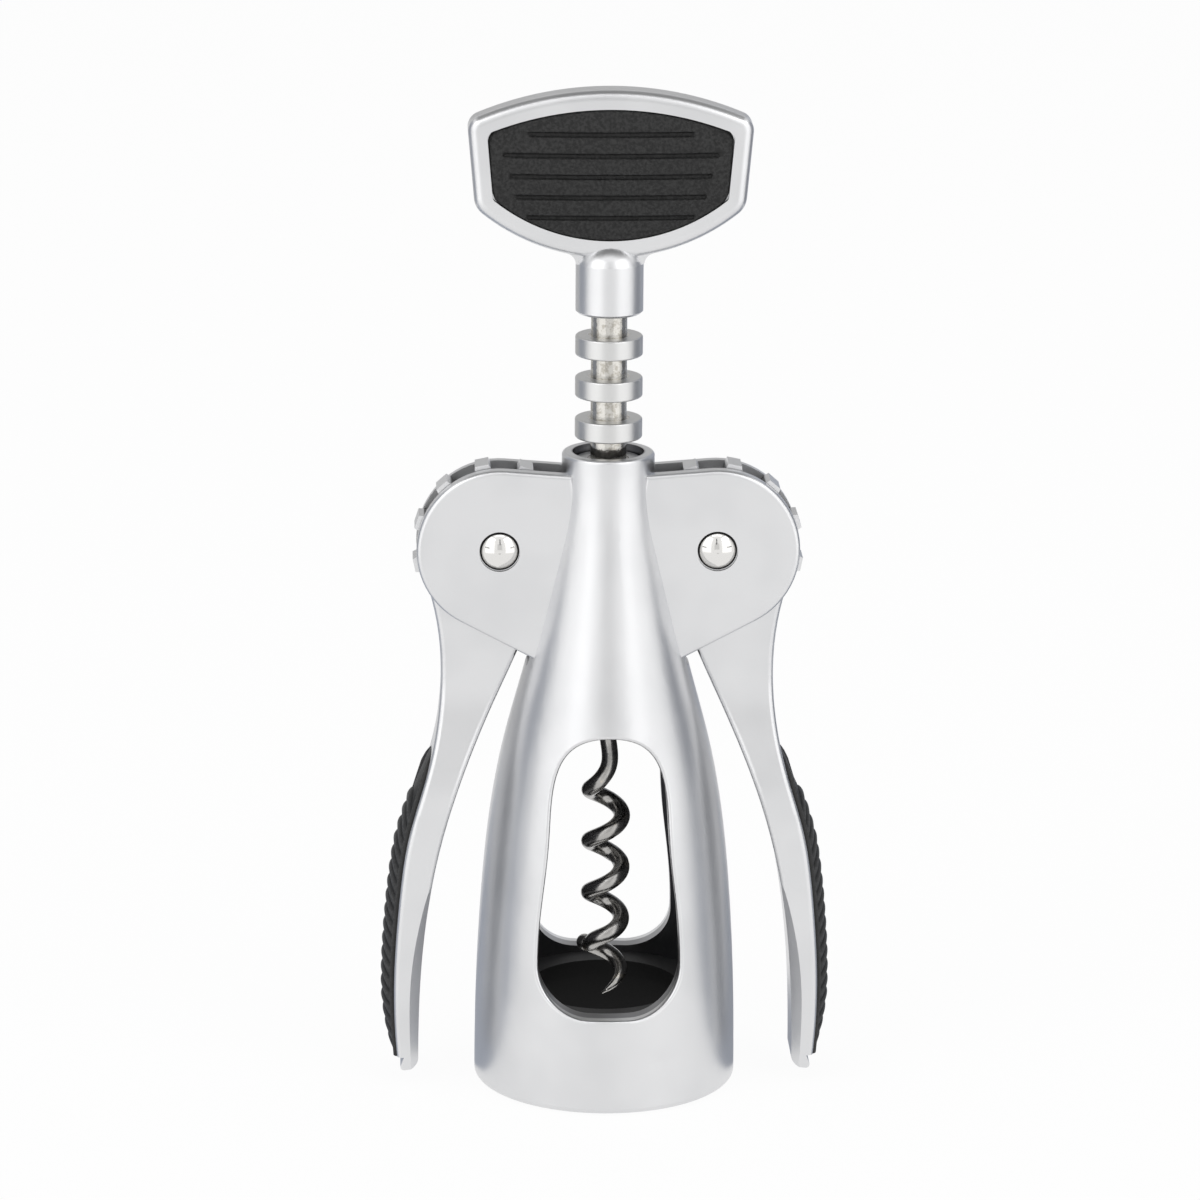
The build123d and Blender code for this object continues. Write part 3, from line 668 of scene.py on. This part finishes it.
def studioFloor():
    # pale paper, which the camera and the gloss of things see as nearly white
    floor = {
        "size": 12.0, "below": 0.0002, "colour": (0.9, 0.9, 0.9), "roughness": 0.9, "glow": 0.94,
    }
    finish = Finish("floor_paper")
    finish.set(Base_Color=floor["colour"], Roughness=floor["roughness"])
    glow = finish.glow(1.0)
    share = seenDirectly(finish.tree) * floor["glow"]
    paper = Wire(finish.tree, finish.shader.outputs[0])
    finish.show(finish.add("ShaderNodeMixShader", inputs={0: share, 1: paper, 2: glow}))
    half = floor["size"] / 2
    corners = [(-half, -half), (half, -half), (half, half), (-half, half)]
    stagePlate("floor", [(x, y, -floor["below"]) for x, y in corners], finish.material)


def studioLamps():
    # azimuth, elevation, distance, width and height in metres, power in watts
    lamps = {
        "left_softbox": (-50, 25, 1.5, 0.9, 1.5, 6.5),
        "right_softbox": (50, 25, 1.5, 0.9, 1.5, 6.5),
        "top_softbox": (0, 85, 1.6, 1.2, 1.2, 5.0),
    }
    aim = np.array([0.0, 0.0, 0.09])  # half the object's height
    for name, (azimuth, elevation, distance, width, height, power) in lamps.items():
        data = bpy.data.lights.new(name, "AREA")
        data.shape = "RECTANGLE"
        data.size, data.size_y = width, height
        data.energy = power
        away, right = awayAt(azimuth, elevation), asideAt(azimuth)
        stand(name, data, right, np.cross(away, right), away, aim + away * distance)


def glowingCard(name, corners, shade, tint):
    # only polished surfaces see it, and it neither lights nor shades anything else
    finish = Finish(name)
    finish.show(finish.glow(shade, tint))
    card = stagePlate(name, corners, finish.material)
    card.visible_camera = card.visible_diffuse = card.visible_shadow = False


def reflectionCards():
    cool = (0.91, 0.97, 1.10)
    # upright ones round the object: azimuth, distance, width, foot, top, shade, tint
    upright = {
        "left_bright_card": (-48, 0.34, 0.28, 0.0, 0.34, 1.36, white),
        "right_bright_card": (48, 0.34, 0.28, 0.0, 0.34, 1.36, white),
        "left_dark_card": (-106, 0.30, 0.22, 0.0, 0.34, 0.36, cool),
        "right_dark_card": (106, 0.30, 0.22, 0.0, 0.34, 0.26, cool),
        "left_rear_card": (-145, 0.30, 0.18, 0.0, 0.34, 0.55, white),
        "right_rear_card": (145, 0.30, 0.18, 0.0, 0.34, 0.42, cool),
        "back_card": (180, 0.50, 0.90, 0.14, 0.75, 0.55, white),
        "front_card": (0, 0.60, 0.24, 0.10, 0.42, 0.74, white),
        "top_gap_card": (0, 0.33, 0.030, 0.24, 0.50, 0.03, cool),
        "left_gap_card": (-60, 0.32, 0.13, 0.118, 0.134, 0.03, cool),
        "right_gap_card": (60, 0.32, 0.13, 0.118, 0.134, 0.03, cool),
    }
    for name, (azimuth, distance, width, foot, top, shade, tint) in upright.items():
        middle, aside = awayAt(azimuth) * distance, asideAt(azimuth) * width / 2
        corners = [
            middle + side * aside + np.array([0.0, 0.0, height])
            for side, height in ((-1, foot), (1, foot), (1, top), (-1, top))
        ]
        glowingCard(name, corners, shade, tint)

    # and two that lie on the floor: first and last azimuth, nearest and farthest distance, shade
    lying = {
        "left_floor_card": (-84, -150, 0.027, 0.30, 0.46),
        "right_floor_card": (84, 150, 0.027, 0.30, 0.38),
    }
    for name, (first, last, near, farthest, shade) in lying.items():
        spots = ((first, near), (last, near), (last, farthest), (first, farthest))
        corners = [awayAt(azimuth) * distance for azimuth, distance in spots]
        glowingCard(name, corners, shade, cool)

    ceiling = {"half": 0.45, "front": -0.22, "back": 0.50, "height": 0.75, "shade": 0.26}
    edges = ((-1, "front"), (1, "front"), (1, "back"), (-1, "back"))
    corners = [(side * ceiling["half"], ceiling[edge], ceiling["height"]) for side, edge in edges]
    glowingCard("ceiling_card", corners, ceiling["shade"], white)


print("camera, floor, lamps and cards")
bpy.context.scene.view_settings.view_transform = "Standard"
pictureCamera()
studioWorld()
studioFloor()
studioLamps()
reflectionCards()
